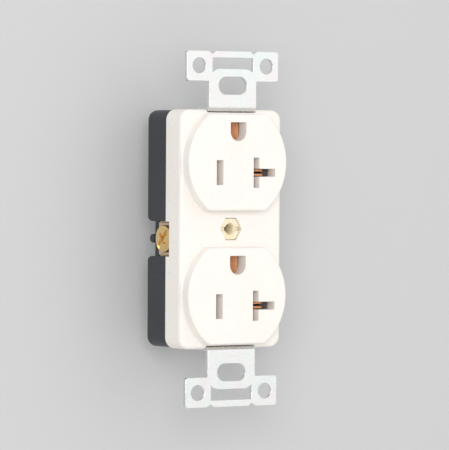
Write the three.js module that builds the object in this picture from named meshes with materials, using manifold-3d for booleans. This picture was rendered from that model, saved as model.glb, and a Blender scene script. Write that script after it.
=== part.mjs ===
// Duplex wall outlet, 15/20 A 125 V pattern, with a wrap-around mounting strap.
// Units are millimetres. +X is right and +Z is up seen from the front, and -Y points into the room.
// The origin is the middle of the outlet on the back plane of the mounting ears, where they meet the wall.

import * as THREE from 'three';
import { mergeVertices } from 'three/addons/utils/BufferGeometryUtils.js';
import Module from 'manifold-3d';

const wasm = await Module();
wasm.setup();

// ---------------------------------------------------------------- driving dimensions

const gap = 0.3; // clearance left between two pieces that touch
const cutPast = 1.0; // how far a cutter runs past the face it opens

// strap: one steel strip, ears and tabs at the ends, folded round the back of the body
const strapThickness = 1.2;
const strapWidth = 16.5;
const strapBendRadius = 0.9;
const legPlane = 34.7;
const webPlane = 18.2;
const earHeightFrom = 43.0;
const overallHalfHeight = 51.85;
const earHalfWidth = 15.95;
const earCornerRadius = 0.9;
const tabEnd = 46.7;
const tabCornerRadius = 4.0;
const windowHalfWidth = 7.05;
const windowEnd = 49.8;
const mountSlotHeight = 41.75;
const mountSlotLength = 9.8;
const mountSlotWidth = 5.1;
const earHole = { x: 11.7, z: 47.5, radius: 2.25 };
const snapNotch = { x: 7.2, depth: 0.8, halfWidth: 1.15 };
const scoreGroove = { width: 0.4, depth: 0.4 };

// front cover
const coverWidth = 35.2;
const coverHeight = 69.6;
const coverCorner = 3.2;
const coverFront = -0.7;
const coverBack = 7.2;
const coverEdge = 1.2;
const coverInside = 1.5;
const coverWall = 2.2;
const coverEndWall = 2.8;
const channelFloor = 33.8;
const channelHalfWidth = strapWidth / 2 + 0.5;

// the two raised plug faces
const faceCentre = 19.42;
const faceFront = -4.4;
const faceRadius = 17.05;
const faceFlat = 14.05;
const faceEdge = 0.4;
const faceInside = -0.4;
const faceWall = 2.2;

// blade and ground openings, from the middle of the blade line of each face
const bladeLineUpper = 16.45;
const faceSpacing = 2 * faceCentre;
const bladeX = 6.35;
const hotSlot = { width: 2.3, height: 7.2 };
const teeSlot = { width: 2.0, height: 8.8, legEnd: 12.95, legHeight: 2.3 };
const groundOffset = 11.9;
const groundHole = { halfWidth: 2.72, radius: 2.72, flatAbove: 2.75 };

// rear body
const bodyWidth = 34.6;
const bodyHeight = 69.2;
const bodyCorner = 3.0;
const bodyFront = coverBack + gap;
const bodyBack = 18.2;
const bodyEdge = 1.2;
const chamberFloor = 16.2;
const chamberOuter = 14.3;
const chamberInner = 5.4;
const contactBayInner = 2.6;
const contactBayHalf = 4.1;
const chamberTop = 20.6;
const chamberBottom = -26.6;
const webRecess = webPlane - strapThickness / 2 - gap;
const groundPocket = { halfWidth: 3.9, halfHeight: 3.4, floor: 14.2 };

// centre post
const postAcrossFlats = 6.15;
const postFront = -0.1;
const postBack = 16.0;
const postThreadRadius = 1.75;
const postThreadDepth = 11.0;
const postSlot = { halfWidth: 0.62, depth: 1.0 };

// terminals
const terminalAxisY = 9.8;
const lineTerminal = { z: -2.95, halfHeight: 5.1 };
const groundTerminal = { z: 25.6, halfHeight: 4.3 };
const tapPlate = { outer: 14.0, thickness: 1.1, front: 5.9, back: 15.9, halfHeight: 6.6 };
const tapHoleRadius = 2.25;
const clampPlate = { thickness: 1.1, front: 5.7, back: 14.4, margin: 0.25 };
const screwHead = { radius: 4.0, thickness: 1.6 };
const screwShankRadius = 1.95;
const screwShankLength = 8.4;
const screwRecess = { halfWidth: 0.55, depth: 0.9, reach: 3.0 };
const guidePeg = { radius: 1.3, y: 16.7, outer: 16.3 };
const reliefFloor = clampPlate.front - gap;

// contacts
const leafThickness = 0.6;
const contactBase = { front: 13.2, back: 13.9 };
const contactHalfWidth = 3.2;
const leafTip = 0.3;
const leafPinch = 4.2;
const busFoot = { front: 14.2, back: 15.2, inner: 3.0 };
const busStrip = { front: 10.6, top: 19.8, bottom: -25.8 };
const contactRivet = { shank: 1.2, head: 2.0, headFront: 12.2, headBack: 15.95 };
const groundRivet = { shank: 1.4, head: 2.6, headFront: 12.1, headBack: 20.0 };

// fasteners at the back
const rearScrew = { shank: 1.5, head: 3.6, headBack: 20.9, tip: 12.6 };
const assemblyScrew = { x: 11.5, z: 31.8, shank: 1.15, head: 2.4, seat: 16.9, back: 18.1, tip: 2.8 };

// ---------------------------------------------------------------- materials

function finish(color, roughness, metalness) {
  return new THREE.MeshStandardMaterial({ color, roughness, metalness });
}

const whitePlastic = finish(0xfcf7f3, 0.25, 0.0);
const greyPlastic = finish(0x46494e, 0.55, 0.0);
const zincSteel = finish(0xdfe3e4, 0.28, 1.0);
const brass = finish(0xd9b36a, 0.3, 1.0);
const paleBrass = finish(0xecd9a6, 0.25, 1.0);
const nickel = finish(0xc9c8c2, 0.3, 1.0);
const greenPlated = finish(0x2f8a4e, 0.35, 0.8);
const copperAlloy = finish(0xc4794a, 0.35, 1.0);
const tinnedPlate = finish(0xc8a08c, 0.4, 1.0);
const darkSteel = finish(0x8c8f92, 0.4, 1.0);

// ---------------------------------------------------------------- solids and cuts

function solid(geometry) {
  geometry.deleteAttribute('normal');
  geometry.deleteAttribute('uv');
  const merged = mergeVertices(geometry, 1e-5);
  const mesh = new wasm.Mesh({
    numProp: 3,
    vertProperties: new Float32Array(merged.attributes.position.array),
    triVerts: new Uint32Array(merged.index.array),
  });
  return new wasm.Manifold(mesh);
}

function toGeometry(piece) {
  const mesh = piece.getMesh();
  const geometry = new THREE.BufferGeometry();
  geometry.setAttribute('position', new THREE.BufferAttribute(new Float32Array(mesh.vertProperties), 3));
  geometry.setIndex(new THREE.BufferAttribute(new Uint32Array(mesh.triVerts), 1));
  geometry.computeVertexNormals();
  return geometry;
}

function join(...pieces) {
  return pieces.reduce((whole, piece) => whole.add(piece));
}

function cut(piece, ...cutters) {
  return cutters.reduce((left, cutter) => left.subtract(cutter), piece);
}

function box(x0, x1, y0, y1, z0, z1) {
  const geometry = new THREE.BoxGeometry(Math.abs(x1 - x0), Math.abs(y1 - y0), Math.abs(z1 - z0));
  geometry.translate((x0 + x1) / 2, (y0 + y1) / 2, (z0 + z1) / 2);
  return solid(geometry);
}

function cylinderY(radius, y0, y1, x, z, sides = 24) {
  const geometry = new THREE.CylinderGeometry(radius, radius, y1 - y0, sides);
  geometry.translate(x, (y0 + y1) / 2, z);
  return solid(geometry);
}

function cylinderX(radius, x0, x1, y, z, sides = 24) {
  const geometry = new THREE.CylinderGeometry(radius, radius, Math.abs(x1 - x0), sides);
  geometry.rotateZ(Math.PI / 2);
  geometry.translate((x0 + x1) / 2, y, z);
  return solid(geometry);
}

// an outline drawn in X and Z, extruded from y0 to y1
function extrudeY(shape, y0, y1, bevel = 0, curveSegments = 8) {
  const geometry = new THREE.ExtrudeGeometry(shape, {
    depth: y1 - y0 - 2 * bevel,
    curveSegments,
    bevelEnabled: bevel > 0,
    bevelThickness: bevel,
    bevelSize: bevel,
    bevelOffset: -bevel,
    bevelSegments: 3,
  });
  geometry.rotateX(Math.PI / 2);
  geometry.translate(0, y1 - bevel, 0);
  return solid(geometry);
}

// an outline drawn in Y and Z, extruded from x0 to x1
function extrudeX(shape, x0, x1) {
  const geometry = new THREE.ExtrudeGeometry(shape, { depth: x1 - x0, bevelEnabled: false });
  const axes = new THREE.Matrix4().makeBasis(
    new THREE.Vector3(0, 1, 0),
    new THREE.Vector3(0, 0, 1),
    new THREE.Vector3(1, 0, 0),
  );
  geometry.applyMatrix4(axes);
  geometry.translate(x0, 0, 0);
  return solid(geometry);
}

// an outline drawn in X and Y, extruded from z0 to z1
function extrudeZ(shape, z0, z1) {
  const geometry = new THREE.ExtrudeGeometry(shape, { depth: z1 - z0, bevelEnabled: false });
  geometry.translate(0, 0, z0);
  return solid(geometry);
}

// ---------------------------------------------------------------- outlines

function roundedRectangle(halfX, halfZ, radius, centreX = 0, centreZ = 0) {
  const shape = new THREE.Shape();
  const left = centreX - halfX + radius;
  const right = centreX + halfX - radius;
  const low = centreZ - halfZ + radius;
  const high = centreZ + halfZ - radius;
  shape.absarc(right, low, radius, -Math.PI / 2, 0);
  shape.absarc(right, high, radius, 0, Math.PI / 2);
  shape.absarc(left, high, radius, Math.PI / 2, Math.PI);
  shape.absarc(left, low, radius, Math.PI, 1.5 * Math.PI);
  shape.closePath();
  return shape;
}

// a circle cut off by a flat above and below
function flattedCircle(radius, flat, centreZ) {
  const angle = Math.asin(flat / radius);
  const shape = new THREE.Shape();
  shape.absarc(0, centreZ, radius, -angle, angle);
  shape.absarc(0, centreZ, radius, Math.PI - angle, Math.PI + angle);
  shape.closePath();
  return shape;
}

// a half circle with straight sides that end in a flat on top
function archOutline(halfWidth, flatAbove, centreZ) {
  const shape = new THREE.Shape();
  shape.absarc(0, centreZ, halfWidth, Math.PI, 2 * Math.PI);
  shape.lineTo(halfWidth, centreZ + flatAbove);
  shape.lineTo(-halfWidth, centreZ + flatAbove);
  shape.closePath();
  return shape;
}

function hexagon(acrossFlats) {
  const corner = acrossFlats / Math.sqrt(3);
  const shape = new THREE.Shape();
  for (let side = 0; side < 6; side += 1) {
    const angle = (side * Math.PI) / 3;
    const place = [corner * Math.cos(angle), corner * Math.sin(angle)];
    if (side === 0) shape.moveTo(...place);
    else shape.lineTo(...place);
  }
  shape.closePath();
  return shape;
}

// the outline of a bent strip of sheet: a centre line with rounded corners, thickened to both sides
function stripOutline(corners, thickness, bendRadius, stepsPerBend = 4) {
  const points = corners.map(([a, b]) => new THREE.Vector2(a, b));
  const spine = [];
  const direction = (from, to) => to.clone().sub(from).normalize();
  const normalOf = (along) => new THREE.Vector2(-along.y, along.x);
  spine.push([points[0], normalOf(direction(points[0], points[1]))]);
  for (let i = 1; i < points.length - 1; i += 1) {
    const before = direction(points[i - 1], points[i]);
    const after = direction(points[i], points[i + 1]);
    const turn = Math.atan2(before.cross(after), before.dot(after));
    const setBack = bendRadius * Math.tan(Math.abs(turn) / 2);
    const start = points[i].clone().addScaledVector(before, -setBack);
    const sideways = normalOf(before).multiplyScalar(Math.sign(turn) * bendRadius);
    const centre = start.clone().add(sideways);
    for (let step = 0; step <= stepsPerBend; step += 1) {
      const angle = (turn * step) / stepsPerBend;
      const place = start.clone().rotateAround(centre, angle);
      spine.push([place, normalOf(before).rotateAround(new THREE.Vector2(), angle)]);
    }
  }
  const last = points.length - 1;
  spine.push([points[last], normalOf(direction(points[last - 1], points[last]))]);
  const side = (sign) =>
    spine.map(([place, normal]) => place.clone().addScaledVector(normal, (sign * thickness) / 2));
  return new THREE.Shape([...side(-1), ...side(1).reverse()]);
}

// ---------------------------------------------------------------- front cover

const bladeLines = { upper: bladeLineUpper, lower: bladeLineUpper - faceSpacing };
const faceCentres = { upper: faceCentre, lower: -faceCentre };

function plugOpenings(bladeZ) {
  const through = [faceFront - cutPast, coverInside + cutPast];
  const hot = box(
    -bladeX - hotSlot.width / 2, -bladeX + hotSlot.width / 2, ...through,
    bladeZ - hotSlot.height / 2, bladeZ + hotSlot.height / 2,
  );
  const teeUpright = box(
    bladeX - teeSlot.width / 2, bladeX + teeSlot.width / 2, ...through,
    bladeZ - teeSlot.height / 2, bladeZ + teeSlot.height / 2,
  );
  const teeLeg = box(
    bladeX, teeSlot.legEnd, ...through,
    bladeZ - teeSlot.legHeight / 2, bladeZ + teeSlot.legHeight / 2,
  );
  const groundZ = bladeZ + groundOffset;
  const ground = extrudeY(archOutline(groundHole.halfWidth, groundHole.flatAbove, groundZ), ...through);
  return join(hot, teeUpright, teeLeg, ground);
}

function legChannels(y0, y1) {
  const outer = coverHeight / 2 + cutPast;
  return [1, -1].map((end) =>
    box(-channelHalfWidth, channelHalfWidth, y0, y1, end * channelFloor, end * outer));
}

function terminalReliefs() {
  const side = coverWidth / 2 + cutPast;
  const inner = coverWidth / 2 - coverWall - cutPast;
  const relief = (sign, terminal) => box(
    sign * inner, sign * side, reliefFloor, coverBack + cutPast,
    terminal.z - terminal.halfHeight, terminal.z + terminal.halfHeight,
  );
  return [relief(-1, lineTerminal), relief(1, lineTerminal), relief(1, groundTerminal)];
}

const assemblyPlaces = [
  ['upper_left', -assemblyScrew.x, assemblyScrew.z],
  ['upper_right', assemblyScrew.x, assemblyScrew.z],
  ['lower_left', -assemblyScrew.x, -assemblyScrew.z],
  ['lower_right', assemblyScrew.x, -assemblyScrew.z],
];

function frontCover() {
  const outline = roundedRectangle(coverWidth / 2, coverHeight / 2, coverCorner);
  const block = extrudeY(outline, coverFront, coverBack + coverEdge + cutPast, coverEdge);
  const behind = box(-30, 30, coverBack, coverBack + 10, -50, 50);
  let cover = cut(block, behind);
  for (const z of Object.values(faceCentres)) {
    cover = join(cover, extrudeY(flattedCircle(faceRadius, faceFlat, z), faceFront, coverInside, faceEdge, 16));
  }
  const inside = roundedRectangle(
    coverWidth / 2 - coverWall, coverHeight / 2 - coverEndWall, coverCorner - 1.0);
  cover = cut(cover, extrudeY(inside, coverInside, coverBack + cutPast, 0, 3));
  for (const z of Object.values(faceCentres)) {
    const pocket = flattedCircle(faceRadius - faceWall, faceFlat - faceWall, z);
    cover = cut(cover, extrudeY(pocket, faceInside, coverInside + cutPast, 0, 10));
  }
  const bossRadius = 5.4;
  cover = join(cover, cylinderY(bossRadius, coverInside - 0.5, coverBack, 0, 0));
  const screwBossRadius = 2.5;
  for (const [, x, z] of assemblyPlaces) {
    cover = join(cover, cylinderY(screwBossRadius, coverInside - 0.5, coverBack, x, z, 16));
    cover = cut(cover, cylinderY(assemblyScrew.shank + gap, assemblyScrew.tip - gap, coverBack + cutPast, x, z, 12));
  }
  const postPocket = extrudeY(
    hexagon(postAcrossFlats + 2 * gap), coverFront - cutPast, coverBack + cutPast);
  const openings = Object.values(bladeLines).map(plugOpenings);
  return cut(cover, postPocket, ...openings, ...legChannels(coverFront - cutPast, coverBack + cutPast),
    ...terminalReliefs());
}

// ---------------------------------------------------------------- rear body

// the two side chambers hold the contacts and their bus bars, and stay open to the front
function sideChambers() {
  const pieces = [];
  for (const side of [-1, 1]) {
    pieces.push(box(side * chamberInner, side * chamberOuter, bodyFront - cutPast, chamberFloor,
      chamberBottom, chamberTop));
    for (const z of Object.values(bladeLines)) {
      pieces.push(box(side * contactBayInner, side * chamberOuter, bodyFront - cutPast, chamberFloor,
        z - contactBayHalf, z + contactBayHalf));
    }
  }
  return pieces;
}

function groundPockets() {
  return Object.values(bladeLines).flatMap((bladeZ) => {
    const z = bladeZ + groundOffset;
    return [
      box(-groundPocket.halfWidth, groundPocket.halfWidth, bodyFront - cutPast, groundPocket.floor,
        z - groundPocket.halfHeight, z + groundPocket.halfHeight),
      cylinderY(groundRivet.shank + gap, groundPocket.floor - cutPast, bodyBack + cutPast, 0, z, 16),
    ];
  });
}

function sideNotches() {
  const notch = (sign, terminal) => box(
    sign * chamberOuter, sign * (bodyWidth / 2 + cutPast), bodyFront - cutPast, bodyBack + cutPast,
    terminal.z - terminal.halfHeight, terminal.z + terminal.halfHeight,
  );
  return [notch(-1, lineTerminal), notch(1, lineTerminal), notch(1, groundTerminal)];
}

const groundArm = { halfHeight: 3.6, slotMargin: 0.3 };

// room for the ground arm of the strap, its folded tab and the tip of the ground screw
function groundArmRoom() {
  const z0 = groundTerminal.z - groundArm.halfHeight - groundArm.slotMargin;
  const z1 = groundTerminal.z + groundArm.halfHeight + groundArm.slotMargin;
  const tabInner = tapPlate.outer - strapThickness - gap;
  const tip = tapPlate.outer - screwShankLength;
  const tipRoom = screwShankRadius + 0.6;
  return [
    box(strapWidth / 2 - cutPast, chamberOuter, webRecess, bodyBack + cutPast, z0, z1),
    box(tabInner, chamberOuter, bodyFront - cutPast, bodyBack + cutPast, z0, z1),
    box(tip, chamberOuter, bodyFront - cutPast, terminalAxisY + tipRoom,
      groundTerminal.z - tipRoom, groundTerminal.z + tipRoom),
  ];
}

function rearBody() {
  const outline = roundedRectangle(bodyWidth / 2, bodyHeight / 2, bodyCorner);
  const block = extrudeY(outline, bodyFront - bodyEdge - cutPast, bodyBack, bodyEdge);
  const inFront = box(-30, 30, bodyFront - 10, bodyFront, -50, 50);
  let body = cut(block, inFront, ...sideChambers(), ...groundPockets(), ...sideNotches(), ...groundArmRoom());
  body = cut(body, cylinderY(postAcrossFlats / Math.sqrt(3) + gap, bodyFront - cutPast, chamberFloor, 0, 0));
  body = cut(body, cylinderY(rearScrew.shank + gap, chamberFloor - cutPast, bodyBack + cutPast, 0, 0, 16));
  body = cut(body, box(-channelHalfWidth, channelHalfWidth, webRecess, bodyBack + cutPast, -50, 50));
  body = cut(body, ...legChannels(bodyFront - cutPast, bodyBack + cutPast));
  for (const [, x, z] of assemblyPlaces) {
    body = cut(body, cylinderY(assemblyScrew.shank + gap, bodyFront - cutPast, bodyBack + cutPast, x, z, 12));
    body = cut(body, cylinderY(assemblyScrew.head + 0.4, assemblyScrew.seat - gap, bodyBack + cutPast, x, z, 20));
  }
  for (const side of [-1, 1]) {
    const root = side * (chamberOuter - cutPast);
    const peg = cylinderX(guidePeg.radius, root, side * guidePeg.outer, guidePeg.y, lineTerminal.z, 16);
    const insideChamber = box(side * (chamberOuter - 2 * cutPast), side * chamberOuter,
      guidePeg.y - 2 * guidePeg.radius, chamberFloor,
      lineTerminal.z - 2 * guidePeg.radius, lineTerminal.z + 2 * guidePeg.radius);
    body = join(body, cut(peg, insideChamber));
  }
  return body;
}

// ---------------------------------------------------------------- mounting strap

// the flat end plate: a tab with round corners inside a break-off frame with two ears
function endPlate(end) {
  const place = (shape, y0 = -strapThickness, y1 = 0) => {
    const piece = extrudeY(shape, y0, y1, 0, 6);
    return end > 0 ? piece : piece.mirror([0, 0, 1]);
  };
  const tabCentre = tabEnd - tabCornerRadius;
  const tabInner = strapWidth / 2 - tabCornerRadius;
  const tabRoot = legPlane + 2;
  const tab = new THREE.Shape();
  tab.moveTo(-strapWidth / 2, tabRoot);
  tab.lineTo(strapWidth / 2, tabRoot);
  tab.absarc(tabInner, tabCentre, tabCornerRadius, 0, Math.PI / 2);
  tab.absarc(-tabInner, tabCentre, tabCornerRadius, Math.PI / 2, Math.PI);
  tab.closePath();
  const frameMiddle = (earHeightFrom + overallHalfHeight) / 2;
  const frameHalf = (overallHalfHeight - earHeightFrom) / 2;
  const frame = roundedRectangle(earHalfWidth, frameHalf, earCornerRadius, 0, frameMiddle);
  const opening = new THREE.Shape([
    new THREE.Vector2(-windowHalfWidth, tabCentre),
    new THREE.Vector2(windowHalfWidth, tabCentre),
    new THREE.Vector2(windowHalfWidth, windowEnd),
    new THREE.Vector2(-windowHalfWidth, windowEnd),
  ]);
  const overrun = [-strapThickness - cutPast, cutPast];
  let plate = join(cut(place(frame), place(opening, ...overrun)), place(tab));
  const slotHalf = mountSlotLength / 2 - mountSlotWidth / 2;
  const slot = new THREE.Shape();
  slot.absarc(slotHalf, mountSlotHeight, mountSlotWidth / 2, -Math.PI / 2, Math.PI / 2);
  slot.absarc(-slotHalf, mountSlotHeight, mountSlotWidth / 2, Math.PI / 2, 1.5 * Math.PI);
  slot.closePath();
  plate = cut(plate, place(slot, ...overrun));
  for (const side of [-1, 1]) {
    plate = cut(plate, cylinderY(earHole.radius, ...overrun, side * earHole.x, end * earHole.z, 20));
    const notch = new THREE.Shape([
      new THREE.Vector2(side * snapNotch.x - snapNotch.halfWidth, overallHalfHeight + 0.01),
      new THREE.Vector2(side * snapNotch.x, overallHalfHeight - snapNotch.depth),
      new THREE.Vector2(side * snapNotch.x + snapNotch.halfWidth, overallHalfHeight + 0.01),
    ]);
    plate = cut(plate, place(notch, ...overrun));
    plate = cut(plate, place(scoreArc(side, tabInner, tabCentre), -strapThickness - cutPast,
      -strapThickness + scoreGroove.depth));
  }
  return plate;
}

// the groove that lets an ear snap off, along a rounded corner of the tab
function scoreArc(side, tabInner, tabCentre) {
  const near = tabCornerRadius;
  const far = tabCornerRadius + scoreGroove.width;
  const fromAngle = 0.02;
  const toAngle = Math.acos((windowHalfWidth - tabInner) / tabCornerRadius) + 0.05;
  const arc = (radius) => [0, 0.25, 0.5, 0.75, 1].map((part) => {
    const angle = fromAngle + part * (toAngle - fromAngle);
    return new THREE.Vector2(
      side * (tabInner + radius * Math.cos(angle)), tabCentre + radius * Math.sin(angle));
  });
  return new THREE.Shape([...arc(near), ...arc(far).reverse()]);
}

function mountingStrap() {
  const front = -strapThickness / 2;
  const stub = legPlane + 2.5;
  const band = stripOutline(
    [[front, stub], [front, legPlane], [webPlane, legPlane], [webPlane, -legPlane], [front, -legPlane],
      [front, -stub]],
    strapThickness, strapBendRadius);
  let strap = join(extrudeX(band, -strapWidth / 2, strapWidth / 2), endPlate(1), endPlate(-1));
  const armX = tapPlate.outer - strapThickness / 2;
  const arm = stripOutline(
    [[strapWidth / 2 - 1, webPlane], [armX, webPlane], [armX, tapPlate.front]],
    strapThickness, strapBendRadius);
  strap = join(strap, extrudeZ(arm, groundTerminal.z - groundArm.halfHeight,
    groundTerminal.z + groundArm.halfHeight));
  const webHole = (radius, z) => cylinderY(radius, webRecess, webPlane + cutPast, 0, z, 16);
  strap = cut(strap, webHole(rearScrew.shank + gap, 0));
  for (const bladeZ of Object.values(bladeLines)) {
    strap = cut(strap, webHole(groundRivet.shank + gap, bladeZ + groundOffset));
  }
  return cut(strap, cylinderX(tapHoleRadius, armX - 2, armX + 2, terminalAxisY, groundTerminal.z));
}

// ---------------------------------------------------------------- centre post and back fasteners

function centrePost() {
  const post = extrudeY(hexagon(postAcrossFlats), postFront, postBack);
  const frontThread = cylinderY(postThreadRadius, postFront - cutPast, postFront + postThreadDepth, 0, 0, 20);
  const rearThread = cylinderY(rearScrew.shank + 0.2, rearScrew.tip - gap, postBack + cutPast, 0, 0, 16);
  const slot = box(-postAcrossFlats, postAcrossFlats, postFront - cutPast, postFront + postSlot.depth,
    -postSlot.halfWidth, postSlot.halfWidth);
  return cut(post, frontThread, rearThread, slot);
}

const webBack = webPlane + strapThickness / 2;

function rearCentreScrew() {
  const head = cylinderY(rearScrew.head, webBack + gap, rearScrew.headBack, 0, 0);
  const shank = cylinderY(rearScrew.shank, rearScrew.tip, webBack + 1, 0, 0, 16);
  const recess = rearScrew.headBack - screwRecess.depth;
  const crossReach = 2.2;
  const bar = (halfX, halfZ) => box(-halfX, halfX, recess, rearScrew.headBack + cutPast, -halfZ, halfZ);
  return cut(join(head, shank), bar(crossReach, screwRecess.halfWidth), bar(screwRecess.halfWidth, crossReach));
}

function assemblyScrewAt(x, z) {
  const head = cylinderY(assemblyScrew.head, assemblyScrew.seat, assemblyScrew.back, x, z, 20);
  const shank = cylinderY(assemblyScrew.shank, assemblyScrew.tip, assemblyScrew.seat + 0.5, x, z, 12);
  const reach = 1.5;
  const half = 0.35;
  const recess = assemblyScrew.back - 0.7;
  const bar = (halfX, halfZ) => box(x - halfX, x + halfX, recess, assemblyScrew.back + cutPast, z - halfZ, z + halfZ);
  return cut(join(head, shank), bar(reach, half), bar(half, reach));
}

// ---------------------------------------------------------------- live and neutral sides

// one plated bar per side: a tapped plate in the side notch, a strip and a foot under each contact
function terminalBus(side) {
  const inner = tapPlate.outer - tapPlate.thickness;
  const z = lineTerminal.z;
  const plate = box(side * inner, side * tapPlate.outer, tapPlate.front, tapPlate.back,
    z - tapPlate.halfHeight, z + tapPlate.halfHeight);
  const strip = box(side * inner, side * tapPlate.outer, busStrip.front, busFoot.back,
    busStrip.bottom, busStrip.top);
  let bus = join(plate, strip);
  for (const bladeZ of Object.values(bladeLines)) {
    bus = join(bus, box(side * busFoot.inner, side * tapPlate.outer, busFoot.front, busFoot.back,
      bladeZ - contactHalfWidth, bladeZ + contactHalfWidth));
    bus = cut(bus, cylinderY(contactRivet.shank + gap, busFoot.front - cutPast, busFoot.back + cutPast,
      side * bladeX, bladeZ, 12));
  }
  return cut(bus, cylinderX(tapHoleRadius, side * (inner - 1), side * (tapPlate.outer + 1), terminalAxisY, z));
}

// a clip with two leaves that close on the blade and flare open towards the slot
function bladeClip(centreX, z, rootHalf, pinchHalf, mouthHalf, width) {
  const base = (contactBase.front + contactBase.back) / 2;
  const outline = stripOutline(
    [[centreX - mouthHalf, leafTip], [centreX - pinchHalf, leafPinch], [centreX - rootHalf, leafPinch + 4.5],
      [centreX - rootHalf, base], [centreX + rootHalf, base], [centreX + rootHalf, leafPinch + 4.5],
      [centreX + pinchHalf, leafPinch], [centreX + mouthHalf, leafTip]],
    leafThickness, 0.5, 2);
  return extrudeZ(outline, z - width / 2, z + width / 2);
}

const clipWidth = 6.2;

function hotContact(bladeZ) {
  const clip = bladeClip(-bladeX, bladeZ, 2.8, 0.9, 1.7, clipWidth);
  return cut(clip, cylinderY(contactRivet.shank + gap, contactBase.front - cutPast,
    contactBase.back + cutPast, -bladeX, bladeZ, 12));
}

// the T-slot contact: the outer leaf is parted so that a sideways blade runs between two more leaves
function neutralContact(bladeZ) {
  const clip = bladeClip(bladeX, bladeZ, 2.8, 0.9, 1.7, clipWidth);
  const partHalf = 1.6;
  const parting = box(bladeX + 0.2, bladeX + 4, leafTip - cutPast, contactBase.front - 1,
    bladeZ - partHalf, bladeZ + partHalf);
  const sideLeafEnd = 12.4;
  const sideLeafStart = 10.0;
  const across = stripOutline(
    [[leafTip, bladeZ - 1.5], [leafPinch, bladeZ - 0.9], [leafPinch + 4.5, bladeZ - 2.0],
      [contactBase.front + 0.35, bladeZ - 2.0], [contactBase.front + 0.35, bladeZ + 2.0],
      [leafPinch + 4.5, bladeZ + 2.0], [leafPinch, bladeZ + 0.9], [leafTip, bladeZ + 1.5]],
    leafThickness, 0.5, 2);
  const sideLeaves = extrudeX(across, sideLeafStart, sideLeafEnd);
  const bridge = box(bladeX, sideLeafEnd, contactBase.front + 0.05, contactBase.front + 0.65,
    bladeZ - 2.0, bladeZ + 2.0);
  const whole = join(cut(clip, parting), sideLeaves, bridge);
  return cut(whole, cylinderY(contactRivet.shank + gap, contactBase.front - cutPast,
    contactBase.back + cutPast, bladeX, bladeZ, 12));
}

function groundContact(bladeZ) {
  const z = bladeZ + groundOffset;
  const clip = bladeClip(0, z, 3.2, 2.5, 3.0, 5.4);
  return cut(clip, cylinderY(groundRivet.shank + gap, contactBase.front - cutPast,
    contactBase.back + cutPast, 0, z, 12));
}

function rivet(size, x, z, frontSeat, backSeat) {
  return join(
    cylinderY(size.head, size.headFront, frontSeat - 0.1, x, z, 16),
    cylinderY(size.shank, size.headFront, size.headBack, x, z, 12),
    cylinderY(size.head, backSeat + 0.2, size.headBack, x, z, 16),
  );
}

function contactRivetAt(x, z) {
  return rivet(contactRivet, x, z, contactBase.front, busFoot.back);
}

function groundRivetAt(z) {
  return rivet(groundRivet, 0, z, contactBase.front, webBack);
}

// ---------------------------------------------------------------- clamp plates and terminal screws

const clampInner = tapPlate.outer + gap;
const clampOuter = clampInner + clampPlate.thickness;
const headInner = clampOuter + 0.2;
const headOuter = headInner + screwHead.thickness;

function clampPlateAt(side, terminal) {
  const half = terminal.halfHeight - clampPlate.margin;
  const plate = box(side * clampInner, side * clampOuter, clampPlate.front, clampPlate.back,
    terminal.z - half, terminal.z + half);
  return cut(plate, cylinderX(tapHoleRadius, side * (clampInner - 1), side * (clampOuter + 1),
    terminalAxisY, terminal.z));
}

function terminalScrewAt(side, terminal) {
  const z = terminal.z;
  const radius = Math.min(screwHead.radius, terminal.halfHeight - 0.6);
  const head = cylinderX(radius, side * headInner, side * headOuter, terminalAxisY, z, 32);
  const tip = headInner - screwShankLength;
  const shank = cylinderX(screwShankRadius, side * tip, side * (headInner + 0.5), terminalAxisY, z);
  const floor = side * (headOuter - screwRecess.depth);
  const above = side * (headOuter + cutPast);
  const bar = (halfY, halfZ) => box(floor, above, terminalAxisY - halfY, terminalAxisY + halfY,
    z - halfZ, z + halfZ);
  return cut(join(head, shank), bar(screwRecess.reach, screwRecess.halfWidth),
    bar(screwRecess.halfWidth, screwRecess.reach));
}

// ---------------------------------------------------------------- the assembly

const group = new THREE.Group();

function addPiece(name, piece, material) {
  const mesh = new THREE.Mesh(toGeometry(piece), material);
  mesh.name = name;
  group.add(mesh);
}

addPiece('front_cover', frontCover(), whitePlastic);
addPiece('rear_body', rearBody(), greyPlastic);
addPiece('mounting_strap', mountingStrap(), zincSteel);
addPiece('center_post', centrePost(), paleBrass);
addPiece('center_rear_screw', rearCentreScrew(), darkSteel);
for (const [corner, x, z] of assemblyPlaces) {
  addPiece(`assembly_screw_${corner}`, assemblyScrewAt(x, z), darkSteel);
}

addPiece('hot_terminal_bus', terminalBus(-1), brass);
addPiece('neutral_terminal_bus', terminalBus(1), nickel);
for (const [level, z] of Object.entries(bladeLines)) {
  addPiece(`hot_contact_${level}`, hotContact(z), copperAlloy);
  addPiece(`hot_rivet_${level}`, contactRivetAt(-bladeX, z), brass);
  addPiece(`neutral_contact_${level}`, neutralContact(z), copperAlloy);
  addPiece(`neutral_rivet_${level}`, contactRivetAt(bladeX, z), brass);
  addPiece(`ground_contact_${level}`, groundContact(z), copperAlloy);
  addPiece(`ground_rivet_${level}`, groundRivetAt(z + groundOffset), zincSteel);
}

addPiece('hot_clamp_plate', clampPlateAt(-1, lineTerminal), tinnedPlate);
addPiece('hot_terminal_screw', terminalScrewAt(-1, lineTerminal), brass);
addPiece('neutral_clamp_plate', clampPlateAt(1, lineTerminal), tinnedPlate);
addPiece('neutral_terminal_screw', terminalScrewAt(1, lineTerminal), nickel);
addPiece('ground_clamp_plate', clampPlateAt(1, groundTerminal), tinnedPlate);
addPiece('ground_terminal_screw', terminalScrewAt(1, groundTerminal), greenPlated);

export default group;
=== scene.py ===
"""Looks of a duplex wall outlet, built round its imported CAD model.

Shapes are drawn in millimetres in the CAD frame: +X right, +Z up, -Y towards the room.
"""

import math

import bmesh
import bpy
from mathutils import Matrix, Vector


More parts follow.
